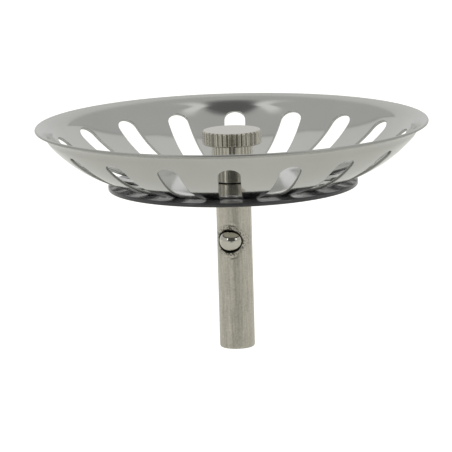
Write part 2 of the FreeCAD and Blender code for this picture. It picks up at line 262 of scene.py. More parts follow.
def rounded(corners, rounding, closed, steps=5):
    """A section with its corners rounded: at each corner an arc that touches both sides, and a point on each
    side close to the arc, which keeps the flat sides flat when they are shaded smooth."""
    points = np.array(corners, float)
    before, after = np.roll(points, 1, axis=0), np.roll(points, -1, axis=0)
    middle = points if closed else points[1:-1]
    before = before if closed else before[1:-1]
    after = after if closed else after[1:-1]
    back, ahead = before - middle, after - middle
    back_length = np.linalg.norm(back, axis=1, keepdims=True)
    ahead_length = np.linalg.norm(ahead, axis=1, keepdims=True)
    back, ahead = back / back_length, ahead / ahead_length
    half = np.arccos(np.clip((back * ahead).sum(axis=1, keepdims=True), -1, 1)) / 2
    reach = rounding / np.tan(half)
    bisector = (back + ahead) / np.linalg.norm(back + ahead, axis=1, keepdims=True)
    centre = middle + bisector * rounding / np.sin(half)
    start, end = middle + back * reach - centre, middle + ahead * reach - centre
    sweep = math.pi - 2 * half
    part = np.linspace(0, 1, steps + 1)[None, :, None]
    sweep = sweep[:, :, None]
    arc = (np.sin((1 - part) * sweep) * start[:, None] + np.sin(part * sweep) * end[:, None]) / np.sin(sweep)
    arc = arc + centre[:, None]
    lead = middle + back * (reach + np.minimum(rounding, 0.2 * back_length))
    tail = middle + ahead * (reach + np.minimum(rounding, 0.2 * ahead_length))
    rows = np.concatenate([lead[:, None], arc, tail[:, None]], axis=1).reshape(-1, 2)
    return rows if closed else np.concatenate([points[:1], rows, points[-1:]])


def edge_rows(rounding, sheet):
    """A rounded edge of a sheet, as (inset, depth) rows from one face to the other."""
    steps = 4
    turn = np.linspace(0, math.pi / 2, steps + 1)
    inset = rounding * (1 - np.sin(turn))
    depth = rounding * (1 - np.cos(turn))
    return np.concatenate([inset, inset[::-1]]), np.concatenate([depth, sheet - depth[::-1]])


def sheared_rows(depths, sheet):
    """How dull the rows of a sheet are where it was sheared: the tool left a torn band by the under face
    and a bright band by the top face. Rows on the faces themselves get nil."""
    torn = np.interp(depths / sheet, [0.3, 0.7], [1.0, 0.2])
    return np.where((depths > 0) & (depths < sheet), torn, 0.0)


def thread_radius(turn, rise, root, crest, flat_share):
    """Radius of a right-hand thread at a turn and a rise in pitches: flat root, flank, flat crest, flank."""
    phase = np.mod(turn - TURN * rise, TURN)
    flat = TURN * flat_share
    return np.interp(phase, [0, flat, math.pi, math.pi + flat, TURN], [root, root, crest, crest, root])


def add_object(name, data):
    """An object at the origin that holds a mesh, a lamp or a camera."""
    item = bpy.data.objects.new(name, data)
    bpy.context.scene.collection.objects.link(item)
    return item


def make_piece(name, grids, material, body, node, sharp_degrees=35):
    """An object made of grids, each (points, rows closed, columns closed) and, where its sheet was sheared,
    a share by row of how much that shows. It rides on a body, stands for a CAD node and takes a slot's
    finish. Edges of grids that meet are merged, and faces turned outwards."""
    merge_distance = 0.002 * MM
    points, faces, shares, used = [], [], [], 0
    for grid, rows_closed, columns_closed, *sheared in grids:
        rows, columns = grid.shape[:2]
        points.append(grid.reshape(-1, 3))
        faces.append(grid_faces(rows, columns, rows_closed, columns_closed) + used)
        shares.append(np.repeat(sheared[0] if sheared else np.zeros(rows), columns))
        used += rows * columns
    mesh = bpy.data.meshes.new(name)
    mesh.from_pydata(np.concatenate(points).tolist(), [], np.concatenate(faces).tolist())
    mesh.attributes.new("sheared", "FLOAT", "POINT").data.foreach_set("value", np.concatenate(shares))
    work = bmesh.new()
    work.from_mesh(mesh)
    bmesh.ops.remove_doubles(work, verts=work.verts, dist=merge_distance)
    bmesh.ops.recalc_face_normals(work, faces=work.faces)
    work.to_mesh(mesh)
    work.free()
    mesh.shade_smooth()
    mesh.set_sharp_from_angle(angle=math.radians(sharp_degrees))
    mesh.materials.append(material)
    piece = add_object(name, mesh)
    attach(piece, body)
    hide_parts(node)
    return piece


# Bowl

def bowl_meridian(sizes):
    """The under face of the bowl from its hole to its rim, as distance along it, radius, height and slope.
    The slope is nil on the floor, grows along the wall and faster along the shoulder, falls back through
    the bend and stays on the flange. Radius and height are its cosine and sine, summed along the way."""
    samples = 8001
    wall = sizes.wall_radius * sizes.wall_angle
    shoulder = sizes.shoulder_radius * (sizes.shoulder_angle - sizes.wall_angle)
    bend = sizes.bend_radius * (sizes.shoulder_angle - sizes.flange_angle)
    flange = sizes.flange_width / math.cos(sizes.flange_angle)
    reach = sizes.wall_radius * math.sin(sizes.wall_angle) + sizes.flange_width
    reach += sizes.shoulder_radius * (math.sin(sizes.shoulder_angle) - math.sin(sizes.wall_angle))
    reach += sizes.bend_radius * (math.sin(sizes.shoulder_angle) - math.sin(sizes.flange_angle))
    floor = sizes.rim_radius - reach - sizes.hole_radius
    stations = np.cumsum([0, floor, wall, shoulder, bend, flange])
    slopes = [0, 0, sizes.wall_angle, sizes.shoulder_angle, sizes.flange_angle, sizes.flange_angle]
    along = np.linspace(0, stations[-1], samples)
    slope = np.interp(along, stations, slopes)
    middle_slope = (slope[1:] + slope[:-1]) / 2
    step = np.diff(along)
    radius = sizes.hole_radius + np.concatenate([[0], np.cumsum(step * np.cos(middle_slope))])
    height = BOWL_LOW.z + np.concatenate([[0], np.cumsum(step * np.sin(middle_slope))])
    return stations, np.stack([along, radius, height, slope])


def bowl_point(meridian, turn, distance, depth):
    """A point of the sheet: a turn about the axis, a distance along the under face, a depth square to it."""
    along, radius, height, slope = meridian
    tilt = np.interp(distance, along, slope)
    out = np.interp(distance, along, radius) - depth * np.sin(tilt)
    return about_axis(out, turn, np.interp(distance, along, height) + depth * np.cos(tilt))


def slot_band(sizes, meridian, low, high, top_of_slot, bottom_of_slot, across):
    """The wall between two distances, with its slots. Each sector is unrolled flat, and rings of points are
    drawn from its border in to the nearest point of the slot, over the slot's edge and out again on the
    other face. A slot is all the points within half its width of a straight line."""
    half_sector = math.pi / sizes.slot_count
    up_steps = 26
    level = np.linspace(-half_sector, half_sector, across + 1)[:-1]
    rise = np.linspace(low, high, up_steps + 1)[:-1]
    fall = np.linspace(high, low, up_steps + 1)[:-1]
    turn = np.concatenate([level, np.full(up_steps, half_sector), -level, np.full(up_steps, -half_sector)])
    distance = np.concatenate([np.full(across, low), rise, np.full(across, high), fall])
    middle = (top_of_slot + bottom_of_slot) / 2
    straight = (top_of_slot - bottom_of_slot) / 2 - sizes.slot_width / 2
    border = np.stack([turn * np.interp(distance, meridian[0], meridian[1]), distance - middle], axis=-1)
    core = np.stack([np.zeros_like(turn), np.clip(border[:, 1], -straight, straight)], axis=-1)
    way = border - core
    way /= np.linalg.norm(way, axis=1, keepdims=True)
    inset, depth = edge_rows(sizes.slot_edge, sizes.sheet)
    edge = core + way * (sizes.slot_width / 2 + inset[:, None, None])
    spread = np.array([1.0, 0.72, 0.48, 0.28, 0.14, 0.05])[:, None, None]
    under = edge[0] + (border - edge[0]) * spread
    rings = np.concatenate([under, edge, under[::-1]])
    depths = np.concatenate([np.zeros(len(under)), depth, np.full(len(under), sizes.sheet)])
    ring_distance = rings[..., 1] + middle
    ring_turn = rings[..., 0] / np.interp(ring_distance, meridian[0], meridian[1])
    sectors = np.arange(sizes.slot_count) * 2 * half_sector - math.pi / 2 - sizes.slot_turn
    sheared = sheared_rows(depths, sizes.sheet)
    return [
        (bowl_point(meridian, ring_turn + sector, ring_distance, depths[:, None]), False, True, sheared)
        for sector in sectors
    ]


def bowl_strip(sizes, meridian, turns, start, end, rounding, rows):
    """The sheet from start on its under face to an edge, round it and back to start on its top face."""
    inset, depth = edge_rows(rounding, sizes.sheet)
    inward = math.copysign(1, start - end)
    edge = end + inward * inset
    run = np.linspace(start, edge[0], rows + 1)[:-1]
    distance = np.concatenate([run, edge, run[::-1]])
    depths = np.concatenate([np.zeros(rows), depth, np.full(rows, sizes.sheet)])
    points = bowl_point(meridian, turns, distance[:, None], depths[:, None])
    return points, False, True, sheared_rows(depths, sizes.sheet)


class BuildBowl(bpy.types.Operator):
    """Press the bowl: floor, curved wall with slots, shoulder and a rim curled out"""

    bl_idname = "strainer.bowl"
    bl_label = "Bowl"

    def execute(self, context):
        sizes = settings("bowl")
        stations, meridian = bowl_meridian(sizes)
        floor_end, wall_end, rim = stations[1], stations[2], stations[-1]
        bottom_of_slot = floor_end + sizes.slot_to_floor
        top_of_slot = wall_end - sizes.slot_to_shoulder
        below_slots, above_slots = 3 * MM, 1.2 * MM
        low, high = bottom_of_slot - below_slots, top_of_slot + above_slots
        across = 16
        first = -math.pi / 2 - sizes.slot_turn - math.pi / sizes.slot_count
        turns = even_turns(across * sizes.slot_count) + first
        grids = slot_band(sizes, meridian, low, high, top_of_slot, bottom_of_slot, across)
        grids.append(bowl_strip(sizes, meridian, turns, low, 0, sizes.slot_edge, 26))
        grids.append(bowl_strip(sizes, meridian, turns, high, rim, sizes.rim_edge, 24))
        make_piece("strainer_bowl_pressed", grids, steel_finish(), "strainer",
                   "strainer_bowl")
        return {"FINISHED"}


# Seal, gasket and washer

def seal_section(sizes, bowl):
    """Half section of the seal: clamped middle, cupped zone that follows the wall's curve, level lip."""
    stations, _ = bowl_meridian(bowl)
    floor_radius = bowl.hole_radius + stations[1]
    middle_top = SEAL_LOW.z + sizes.thickness
    centre = middle_top + bowl.wall_radius
    top_curve = bowl.wall_radius + sizes.clearance
    under_curve = top_curve + sizes.thickness
    top_end = math.acos((bowl.wall_radius - sizes.cup) / top_curve)
    under_end = math.acos((bowl.wall_radius + sizes.thickness - sizes.cup) / under_curve)
    top_slope = np.linspace(math.acos(bowl.wall_radius / top_curve), top_end, 12)
    under_slope = np.linspace(under_end, math.acos((bowl.wall_radius + sizes.thickness) / under_curve), 12)
    lip_radius = SEAL_HIGH.x
    lip = rounded(
        [(floor_radius + top_curve * math.sin(top_end), SEAL_HIGH.z), (lip_radius, SEAL_HIGH.z),
         (lip_radius, SEAL_HIGH.z - sizes.thickness),
         (floor_radius + under_curve * math.sin(under_end), SEAL_HIGH.z - sizes.thickness)],
        np.array([[sizes.lip_edge], [sizes.edge]]), False)
    hole = rounded(
        [(floor_radius, SEAL_LOW.z), (bowl.hole_radius, SEAL_LOW.z), (bowl.hole_radius, middle_top),
         (floor_radius, middle_top)], sizes.edge, False)[1:-1]

    def arc(radius, slope):
        return np.stack([floor_radius + radius * np.sin(slope), centre - radius * np.cos(slope)], -1)

    return np.concatenate([arc(top_curve, top_slope)[:-1], lip, arc(under_curve, under_slope)[1:], hole])


def flat_ring(hole_radius, low, high, rounding, columns):
    """A flat ring from its hole out to a box's side, with rounded edges."""
    section = [(hole_radius, low.z), (high.x, low.z), (high.x, high.z), (hole_radius, high.z)]
    return lathe(rounded(section, rounding, True), columns)


class BuildRubber(bpy.types.Operator):
    """Mould the cupped seal under the bowl and the gasket in the knob"""

    bl_idname = "strainer.rubber"
    bl_label = "Seal and gasket"

    def execute(self, context):
        sizes, bowl = settings("seal"), settings("bowl")
        rubber = rubber_finish()
        seal = lathe(seal_section(sizes, bowl), 288)
        make_piece("rubber_seal_moulded", [(seal, True, True)], rubber, "strainer",
                   "rubber_seal")
        gasket = flat_ring(bowl.hole_radius, GASKET_LOW, GASKET_HIGH, sizes.edge, 96)
        make_piece("knob_gasket_moulded", [(gasket, True, True)], rubber, "gasket",
                   "knob_gasket")
        return {"FINISHED"}


class BuildWasher(bpy.types.Operator):
    """Stamp the washer between the seal and the stem"""

    bl_idname = "strainer.washer"
    bl_label = "Washer"

    def execute(self, context):
        sizes, bowl = settings("seal"), settings("bowl")
        washer = flat_ring(bowl.hole_radius, WASHER_LOW, WASHER_HIGH, sizes.washer_edge, 128)
        make_piece("backing_washer_stamped", [(washer, True, True)], zinc_finish(), "strainer",
                   "backing_washer")
        return {"FINISHED"}


# Stem and catch

def bar_point(sizes, turn, height, lift):
    """A point of the bar, at a turn from the catch, a height and a lift over its surface."""
    return about_axis(sizes.radius + lift, turn + CATCH_TURN, height)


def staked_metal(sizes, across, up):
    """Lift of the bar's surface round the mouth. A ring-shaped punch meets the round bar only above and
    below the ball and presses an arc there. It leaves uneven bites of raised metal between that arc and
    the mouth, and more of them on one side of the ball."""
    way = np.arctan2(up, across)
    distance = np.hypot(across, up)
    crest = np.clip(1 - (across / (1.9 * MM)) ** 2, 0, 1)
    one_side = 0.8 * np.clip(np.cos(way) - 0.6, 0, 1)
    bites = np.sin(9 * way + 0.7) * np.sin(4 * way + 2.1) + 0.6 * np.sin(17 * way)
    fade = np.exp(-((distance - sizes.mouth_half_height) / (0.6 * MM)) ** 2)
    arc = np.exp(-((distance - sizes.punch_radius) / (0.16 * MM)) ** 2)
    return sizes.burr * bites * fade * (crest + one_side) - sizes.punch_depth * arc * crest


def catch_band(sizes, columns, half_band):
    """The bar round the catch, unrolled flat: rings of points from its border in to the mouth, which is an
    ellipse, then over the staked lip and down the hole to its end."""
    side_steps = 24
    border_turn = math.pi * sizes.radius
    level = np.linspace(-border_turn, border_turn, columns + 1)[:-1]
    rise = np.linspace(-half_band, half_band, side_steps + 1)[:-1]
    border = np.concatenate([
        np.stack([level, np.full(columns, -half_band)], -1),
        np.stack([np.full(side_steps, border_turn), rise], -1),
        np.stack([-level, np.full(columns, half_band)], -1),
        np.stack([np.full(side_steps, -border_turn), -rise], -1),
    ])
    way = np.arctan2(border[:, 1], border[:, 0])
    across, up = np.cos(way) * sizes.mouth_half_width, np.sin(way) * sizes.mouth_half_height
    mouth = np.stack([np.arcsin(across / sizes.radius) * sizes.radius, up], -1)
    rings = mouth + (border - mouth) * (np.linspace(1, 0, 30) ** 2)[:, None, None]
    lift = staked_metal(sizes, np.sin(rings[..., 0] / sizes.radius) * sizes.radius, rings[..., 1])
    surface = bar_point(sizes, rings[..., 0] / sizes.radius, BALL_CENTRE.z + rings[..., 1], lift)
    face = np.sqrt(sizes.radius ** 2 - across ** 2)
    wide, tall = np.cos(way) * sizes.hole_radius, np.sin(way) * sizes.hole_radius
    end = np.full_like(way, -sizes.hole_back)
    hole = [
        (across, up, face - 0.3 * sizes.lip),
        (across, up, face - sizes.lip),
        (wide, tall, face - 1.1 * sizes.lip),
        (wide, tall, face - 2 * sizes.lip),
        (wide, tall, end + 0.3 * MM),
        (wide, tall, end),
        (0.6 * wide, 0.6 * tall, end),
        (0 * wide, 0 * tall, end),
    ]
    inside = np.stack([
        side[:, None] * CATCH_ACROSS + high[:, None] * UP + out[:, None] * CATCH_OUT
        for side, high, out in hole
    ])
    inside[..., 2] += BALL_CENTRE.z
    return np.concatenate([surface, inside]), False, True


def bar_ends(sizes, columns, half_band):
    """The bar below the catch with its rounded end, and the bar above it with the threaded stud."""
    turns = even_turns(columns) - math.pi
    lower = rounded(
        [(sizes.radius, BALL_CENTRE.z - half_band), (sizes.radius, STEM_LOW.z), (0, STEM_LOW.z)],
        sizes.end_round, False, 8)
    shoulder = rounded(
        [(sizes.radius, BALL_CENTRE.z + half_band), (sizes.radius, WASHER_LOW.z),
         (sizes.thread_radius - sizes.thread_depth, WASHER_LOW.z)], 0.1 * MM, False)
    rise = STEM_HIGH.z - sizes.stud_point - WASHER_LOW.z
    height = WASHER_LOW.z + np.linspace(0, rise, int(rise / sizes.thread_pitch * 14))[:, None]
    root = sizes.thread_radius - sizes.thread_depth
    climb = (height - WASHER_LOW.z) / sizes.thread_pitch
    crest = thread_radius(
        turns + CATCH_TURN, climb, root, sizes.thread_radius, sizes.thread_flat / sizes.thread_pitch)
    stud = about_axis(crest, turns + CATCH_TURN, height)
    point = rounded(
        [(root, STEM_HIGH.z - sizes.stud_point), (root, STEM_HIGH.z), (0, STEM_HIGH.z)], 0.15 * MM, False)

    def turned(section):
        return about_axis(section[:, :1], turns + CATCH_TURN, section[:, 1:])

    upper = np.concatenate([turned(shoulder)[:-1], stud, turned(point)])
    return [(turned(lower), False, True), (upper, False, True)]


class BuildStem(bpy.types.Operator):
    """Turn the stem with its stud and the staked hole of the catch"""

    bl_idname = "strainer.stem"
    bl_label = "Stem"

    def execute(self, context):
        sizes = settings("stem")
        columns = 96
        half_band = 7 * MM
        grids = [catch_band(sizes, columns, half_band)] + bar_ends(sizes, columns, half_band)
        make_piece("stem_turned", grids, drawn_nickel_finish(), "strainer", "stem")
        return {"FINISHED"}


class BuildCatch(bpy.types.Operator):
    """Make the ball and the spring behind it"""

    bl_idname = "strainer.catch"
    bl_label = "Ball and spring"

    def execute(self, context):
        sizes = settings("stem")
        radius = (BALL_HIGH.z - BALL_LOW.z) / 2
        climb = np.linspace(-math.pi / 2, math.pi / 2, 65)
        half_circle = np.stack([radius * np.cos(climb), radius * np.sin(climb)], -1)
        ball = lathe(half_circle, 128) + np.array(BALL_CENTRE)
        make_piece("detent_ball_polished", [(ball, False, True)], ball_finish(), "ball",
                   "detent_ball")
        make_spring(sizes, radius)
        return {"FINISHED"}


def make_spring(sizes, ball_radius):
    """A round wire carried along a helix about the line of the catch, from the hole's end to the ball."""
    half_wire = sizes.spring_wire / 2
    ball_reach = math.hypot(BALL_CENTRE.x, BALL_CENTRE.y)
    touch = math.sqrt((ball_radius + half_wire) ** 2 - sizes.spring_radius ** 2)
    front = ball_reach - touch - sizes.spring_gap
    back = -sizes.hole_back + half_wire + sizes.spring_gap
    turn = np.linspace(0, TURN * sizes.spring_turns, 48 * sizes.spring_turns + 1)[:, None, None]
    round_wire = even_turns(16)[None, :, None]
    radial = np.cos(turn) * CATCH_ACROSS + np.sin(turn) * UP
    rise = (front - back) / (TURN * sizes.spring_turns)
    tangent = sizes.spring_radius * (-np.sin(turn) * CATCH_ACROSS + np.cos(turn) * UP) + rise * CATCH_OUT
    tangent /= np.linalg.norm(tangent, axis=-1, keepdims=True)
    other = np.cross(tangent, radial)
    line = sizes.spring_radius * radial + (back + rise * turn) * CATCH_OUT + BALL_CENTRE.z * UP
    tube = line + half_wire * (np.cos(round_wire) * radial + np.sin(round_wire) * other)
    first = np.broadcast_to(line[:1], tube[:1].shape)
    last = np.broadcast_to(line[-1:], tube[-1:].shape)
    wire = np.concatenate([first, tube, last])
    spring = make_piece("detent_spring_coiled", [(wire, False, True)], spring_finish(), "strainer",
                        "detent_spring")
    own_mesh(spring)


# Knob

def knurled(sizes, radius, turns):
    """Radius cut back to V-shaped grooves: each is deepest at its middle and rises evenly to both sides."""
    pitch = TURN / sizes.knurl_count
    off_middle = np.abs(np.mod(turns + pitch / 2, pitch) - pitch / 2)
    groove = KNOB_HIGH.x - sizes.knurl_depth + off_middle * KNOB_HIGH.x
    return np.minimum(radius, groove)


class BuildKnob(bpy.types.Operator):
    """Turn the thumb nut: knurled head, smooth neck, recess and threaded hole"""

    bl_idname = "strainer.knob"
    bl_label = "Knob"

    def execute(self, context):
        sizes, stem = settings("knob"), settings("stem")
        turns = even_turns(10 * sizes.knurl_count)
        head_radius = KNOB_HIGH.x
        head_z = KNOB_HIGH.z - sizes.head_height
        root = stem.thread_radius - stem.thread_depth + sizes.thread_clearance
        crest = stem.thread_radius + sizes.thread_clearance
        hole_end = KNOB_HIGH.z - sizes.crown
        recess_z = GASKET_HIGH.z
        outside = rounded([
            (0, KNOB_HIGH.z),
            (head_radius - sizes.chamfer, KNOB_HIGH.z),
            (head_radius, KNOB_HIGH.z - sizes.chamfer),
            (head_radius, head_z + sizes.chamfer),
            (head_radius - sizes.chamfer, head_z),
            (sizes.neck_radius, head_z),
            (sizes.neck_radius, KNOB_LOW.z),
            (sizes.recess_radius, KNOB_LOW.z),
            (sizes.recess_radius, recess_z),
            (root, recess_z),
        ], sizes.edge, False)
        shell = about_axis(knurled(sizes, outside[:, :1], turns), turns, outside[:, 1:])
        rise = hole_end - recess_z
        height = recess_z + np.linspace(0, rise, int(rise / stem.thread_pitch * 8))[:, None]
        climb = (height - WASHER_LOW.z) / stem.thread_pitch
        bore = thread_radius(turns, climb, root, crest, stem.thread_flat / stem.thread_pitch)
        hole = about_axis(bore, turns, height)
        end = about_axis(np.array([[root], [0]]), turns, np.full((2, 1), hole_end))
        grid = np.concatenate([shell, hole, end])
        make_piece("knob_turned", [(grid, False, True)], turned_nickel_finish(), "knob",
                   "knob", sharp_degrees=25)
        return {"FINISHED"}


# Finishes

def add_node(tree, kind, values=None, **options):
    """A shader node of a kind, with options and with values on its input sockets."""
    node = tree.nodes.new(kind)
    for name, value in options.items():
        setattr(node, name, value)
    for socket, value in (values or {}).items():
        node.inputs[socket].default_value = value
    return node


def link(tree, source, node, socket):
    """Joins an output socket to an input of a node."""
    tree.links.new(source, node.inputs[socket])


def math_node(tree, operation, first, second=0.0):
    """The result of one sum. Each term is a number or an output socket."""
    node = add_node(tree, "ShaderNodeMath", operation=operation)
    for index, term in enumerate((first, second)):
        if isinstance(term, (int, float)):
            node.inputs[index].default_value = term
        else:
            tree.links.new(term, node.inputs[index])
    return node.outputs[0]


def root_of_squares(tree, first, second):
    """The long side of a right triangle with two short sides."""
    squares = [math_node(tree, "MULTIPLY", side, side) for side in (first, second)]
    return math_node(tree, "SQRT", math_node(tree, "ADD", *squares))


def blend(tree, share, first, second):
    """A mix of two values by a share. Each is a number or an output socket."""
    rest = math_node(tree, "MULTIPLY", math_node(tree, "SUBTRACT", 1.0, share), first)
    return math_node(tree, "ADD", rest, math_node(tree, "MULTIPLY", share, second))


def ramp_between(tree, source, low, high, start=0.0, end=1.0, smooth=False):
    """A value that goes from start to end while the source goes from low to high."""
    limits = {"From Min": low, "From Max": high, "To Min": start, "To Max": end}
    kind = "SMOOTHSTEP" if smooth else "LINEAR"
    node = add_node(tree, "ShaderNodeMapRange", limits, interpolation_type=kind)
    link(tree, source, node, "Value")
    return node.outputs["Result"]


def noise(tree, place, scale, detail):
    """Cloudy variation round one half, where place is a vector socket."""
    node = add_node(tree, "ShaderNodeTexNoise", {"Scale": scale, "Detail": detail, "Roughness": 0.55})
    link(tree, place, node, "Vector")
    return node.outputs["Fac"]


def object_place(tree):
    """Where a point is on the piece."""
    return add_node(tree, "ShaderNodeTexCoord").outputs["Object"]


def stretched_place(tree, along):
    """Where a point is on the piece, with heights shrunk, so that a pattern becomes upright streaks."""
    node = add_node(tree, "ShaderNodeMapping", {"Scale": (1.0, 1.0, along)})
    link(tree, object_place(tree), node, "Vector")
    return node.outputs["Vector"]


def off_axis(tree):
    """How far a point is from the axis, and how high."""
    parts = add_node(tree, "ShaderNodeSeparateXYZ")
    link(tree, object_place(tree), parts, 0)
    return root_of_squares(tree, parts.outputs["X"], parts.outputs["Y"]), parts.outputs["Z"]


def spun_place(tree):
    """Distance from the axis and height, so that a pattern becomes rings about the axis."""
    joined = add_node(tree, "ShaderNodeCombineXYZ")
    for part, socket in zip(off_axis(tree), "XY"):
        link(tree, part, joined, socket)
    return joined.outputs[0]


def start_finish(name, metallic):
    """A new material with its shader."""
    material = bpy.data.materials.new(name)
    material.use_nodes = True
    tree = material.node_tree
    shader = tree.nodes["Principled BSDF"]
    shader.inputs["Metallic"].default_value = metallic
    return material, tree, shader


def two_tones(tree, shader, source, tone, darker):
    """Base colour between a tone and a darker one, by a pattern."""
    ramp = add_node(tree, "ShaderNodeValToRGB")
    ends = zip(ramp.color_ramp.elements, PATTERN_RANGE, (darker, 1.0))
    for element, position, strength in ends:
        element.position = position
        element.color = (*[part * strength for part in tone], 1)
    link(tree, source, ramp, "Fac")
    link(tree, ramp.outputs["Color"], shader, "Base Color")


def set_roughness(tree, shader, source, low, high):
    """Roughness that goes from low to high with a pattern."""
    link(tree, ramp_between(tree, source, *PATTERN_RANGE, low, high), shader, "Roughness")


def lay_over(tree, shader, share, tone, roughness):
    """Covers a finish that has its tone and roughness, by a share, with a plain tone and roughness."""
    factor, first, second, result = 0, 6, 7, 2
    mix = add_node(tree, "ShaderNodeMix", {second: (*tone, 1)}, data_type="RGBA")
    link(tree, share, mix, factor)
    link(tree, shader.inputs["Base Color"].links[0].from_socket, mix, first)
    link(tree, mix.outputs[result], shader, "Base Color")
    under = shader.inputs["Roughness"].links[0].from_socket
    link(tree, blend(tree, share, under, roughness), shader, "Roughness")


def set_bump(tree, shader, source, height):
    """Surface relief of a height in metres, by a pattern."""
    node = add_node(tree, "ShaderNodeBump", {"Strength": 1.0, "Distance": height})
    link(tree, source, node, "Height")
    link(tree, node.outputs["Normal"], shader, "Normal")


def steel_finish():
    """Pressed sheet, polished bright: faint rings of polishing lines, duller at the rim, where the wheel
    hardly reached the bend, and dull where it was sheared."""
    material, tree, shader = start_finish("polished_steel_sheet", 1.0)
    lines = noise(tree, spun_place(tree), 5200, 4)
    clouds = noise(tree, object_place(tree), 90, 2)
    two_tones(tree, shader, clouds, settings("finishes").steel, 0.95)
    mixed = blend(tree, 0.4, lines, clouds)
    polished = ramp_between(tree, mixed, *PATTERN_RANGE, 0.075, 0.14)
    out, _ = off_axis(tree)
    rim = settings("bowl").rim_radius
    bent = ramp_between(tree, out, rim - 3.2 * MM, rim - 2.4 * MM, 0.0, 0.14, True)
    link(tree, math_node(tree, "ADD", polished, bent), shader, "Roughness")
    sheared = add_node(tree, "ShaderNodeAttribute", attribute_name="sheared").outputs["Fac"]
    lay_over(tree, shader, sheared, settings("finishes").sheared, 0.42)
    set_bump(tree, shader, lines, 0.0006 * MM)
    return material


def dirt_and_shade_round_ball(tree):
    """How dark a point of the bar is painted: a ring of painted shade at the mouth of the catch, where the
    ball meets the staked lip, ragged and broken outwards into dark specks of dirt.
    """
    place = object_place(tree)

    def along(way):
        node = add_node(tree, "ShaderNodeVectorMath", {1: tuple(way)}, operation="DOT_PRODUCT")
        link(tree, place, node, 0)
        return node.outputs["Value"]

    stem = settings("stem")
    up = math_node(tree, "SUBTRACT", along(UP), BALL_CENTRE.z)
    up = math_node(tree, "DIVIDE", up, stem.mouth_half_height)
    across = math_node(tree, "DIVIDE", along(CATCH_ACROSS), stem.mouth_half_width)
    distance = root_of_squares(tree, up, across)
    ragged = ramp_between(tree, noise(tree, place, 2400, 2), *PATTERN_RANGE, -0.04, 0.04)
    # Painted shade: a dark ring in the crevice where the ball sits in the staked lip
    ring = ramp_between(tree, math_node(tree, "ADD", distance, ragged), 1.04, 1.11, 1.0, 0.0, True)
    # Dark specks of dirt scattered round the ring
    specks = ramp_between(tree, noise(tree, place, 2900, 3), 0.51, 0.59, 0.0, 0.85)
    near = ramp_between(tree, distance, 1.1, 1.6, 1.0, 0.0, True)
    dirt_and_shade = math_node(tree, "MAXIMUM", ring, math_node(tree, "MULTIPLY", specks, near))
    in_front = math_node(tree, "GREATER_THAN", along(CATCH_OUT), 0.0)
    return math_node(tree, "MULTIPLY", dirt_and_shade, in_front)


def drawn_nickel_finish():
    """Nickel over drawn bar: upright draw lines, dull patches, and dirt with a ring of painted shade where
    the ball is staked in.
    """
    material, tree, shader = start_finish("drawn_nickel_bar", 1.0)
    streaks = noise(tree, stretched_place(tree, 0.035), 2600, 4)
    patches = noise(tree, stretched_place(tree, 0.4), 700, 3)
    pits = noise(tree, object_place(tree), 2600, 3)
    mixed = blend(tree, 0.35, blend(tree, 0.3, streaks, patches), pits)
    mixed = ramp_between(tree, mixed, 0.4, 0.6, *PATTERN_RANGE)
    two_tones(tree, shader, mixed, settings("finishes").nickel, 0.7)
    set_roughness(tree, shader, mixed, 0.36, 0.27)
    # Lays the dirt specks and the painted shade ring round the ball over the nickel
    lay_over(tree, shader, dirt_and_shade_round_ball(tree), settings("finishes").grime_and_shade, 0.6)
    set_bump(tree, shader, mixed, 0.006 * MM)
    return material


def turned_nickel_finish():
    """Nickel over turned brass: bright, with faint rings of the lathe."""
    material, tree, shader = start_finish("turned_nickel", 1.0)
    lines = noise(tree, spun_place(tree), 4200, 3)
    two_tones(tree, shader, lines, settings("finishes").nickel, 0.92)
    set_roughness(tree, shader, lines, 0.1, 0.18)
    shader.inputs["Specular Tint"].default_value = (0.9, 0.9, 0.9, 1)
    set_bump(tree, shader, lines, 0.0012 * MM)
    return material


def clouded_metal(name, tone, darker, scale, detail, roughness, relief):
    """A metal whose tone, roughness and relief follow one cloudy pattern."""
    material, tree, shader = start_finish(name, 1.0)
    clouds = noise(tree, object_place(tree), scale, detail)
    two_tones(tree, shader, clouds, tone, darker)
    set_roughness(tree, shader, clouds, *roughness)
    set_bump(tree, shader, clouds, relief)
    return material


def ball_finish():
    """Ground and polished ball."""
    tone = settings("finishes").ball
    return clouded_metal("polished_ball", tone, 0.93, 900, 3, (0.05, 0.1), 0.0015 * MM)


def zinc_finish():
    """Stamped washer with dull zinc plate."""
    tone = settings("finishes").zinc
    return clouded_metal("zinc_plate", tone, 0.8, 1400, 4, (0.3, 0.45), 0.004 * MM)


def spring_finish():
    """Drawn spring wire with a trace of oil."""
    tone = settings("finishes").spring
    return clouded_metal("spring_wire", tone, 0.75, 2200, 3, (0.2, 0.35), 0.002 * MM)


def rubber_finish():
    """Moulded black rubber with a soft sheen, slightly mottled, with a fine grain."""
    material, tree, shader = start_finish("black_rubber_moulded", 0.0)
    clouds = noise(tree, object_place(tree), 420, 4)
    grain = noise(tree, object_place(tree), 5200, 2)
    two_tones(tree, shader, clouds, settings("finishes").rubber, 0.7)
    set_roughness(tree, shader, clouds, 0.07, 0.12)
    shader.inputs["IOR"].default_value = 1.6
    shader.inputs["Sheen Weight"].default_value = 0.2
    shader.inputs["Sheen Roughness"].default_value = 0.4
    set_bump(tree, shader, grain, 0.0015 * MM)
    return material


# Stage

def ray_kind(tree):
    """One for rays from the camera and for mirrored or refracted rays, nil for the rest."""
    rays = add_node(tree, "ShaderNodeLightPath").outputs
    mirrored = math_node(tree, "MAXIMUM", rays["Is Glossy Ray"], rays["Is Transmission Ray"])
    return rays["Is Camera Ray"], mirrored


